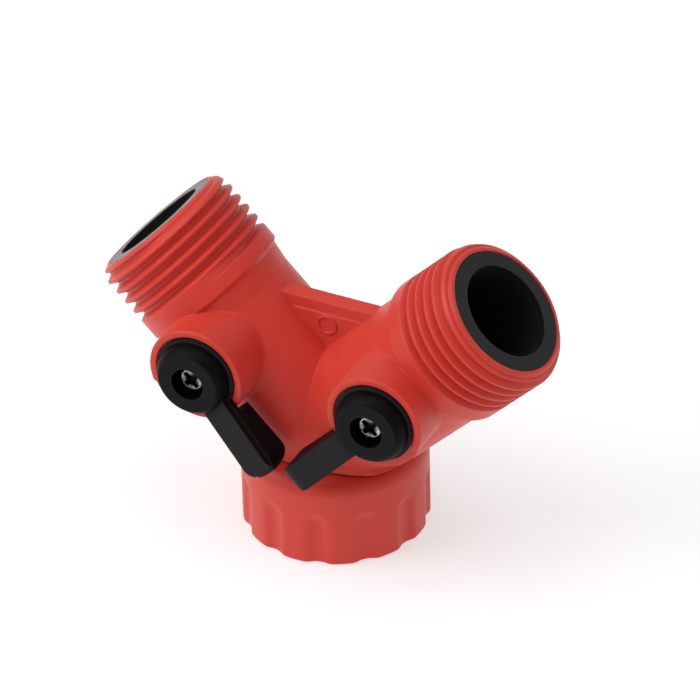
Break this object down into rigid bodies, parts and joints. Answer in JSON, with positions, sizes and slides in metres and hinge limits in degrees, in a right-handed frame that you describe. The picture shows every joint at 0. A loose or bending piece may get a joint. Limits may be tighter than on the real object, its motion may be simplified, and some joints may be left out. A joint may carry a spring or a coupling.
{
  "type": "hose splitter",
  "caption": "Y-shaped garden hose splitter: a swivel inlet nut, and a threaded outlet with a lever shut-off ball valve on each arm.",
  "frame": {"origin": "centre of the coupling nut's open end, on the inlet axis", "axes": "+Z along the inlet axis towards the outlets, +X towards the right outlet, -Y the way the valve stems and levers face"},
  "size_m": [0.0826, 0.0383, 0.0595],
  "materials": {
    "red_plastic": "satin moulded",
    "lever_plastic": "fine textured",
    "black_plastic": "moulded",
    "ring_plastic": "smooth",
    "seat_plastic": "smooth",
    "rubber": "matt",
    "steel": "bright"
  },
  "bodies": {
    "body": {"y_body": "red_plastic", "inlet_sleeve": "black_plastic", "left_inner_seat": "seat_plastic", "left_outer_seat": "seat_plastic", "left_seat_retainer": "ring_plastic", "left_retainer_oring": "rubber", "right_inner_seat": "seat_plastic", "right_outer_seat": "seat_plastic", "right_seat_retainer": "ring_plastic", "right_retainer_oring": "rubber"},
    "nut": {"coupling_nut": "red_plastic", "inlet_washer": "rubber"},
    "left_valve": {"left_ball": "black_plastic", "left_stem": "black_plastic", "left_stem_oring_inner": "rubber", "left_stem_oring_outer": "rubber", "left_lever": "lever_plastic", "left_lever_screw": "steel"},
    "right_valve": {"right_ball": "black_plastic", "right_stem": "black_plastic", "right_stem_oring_inner": "rubber", "right_stem_oring_outer": "rubber", "right_lever": "lever_plastic", "right_lever_screw": "steel"}
  },
  "joints": [
    {"name": "nut_swivel", "type": "hinge", "parent": "body", "child": "nut", "pos_m": [0, 0, 0], "axis": [0, 0, 1], "continuous": true},
    {"name": "left_valve_turn", "type": "hinge", "parent": "body", "child": "left_valve", "pos_m": [-0.0168, 0, 0.03505], "axis": [0, 1, 0], "range_deg": [0, 90]},
    {"name": "right_valve_turn", "type": "hinge", "parent": "body", "child": "right_valve", "pos_m": [0.0168, 0, 0.03505], "axis": [0, -1, 0], "range_deg": [0, 90]}
  ]
}
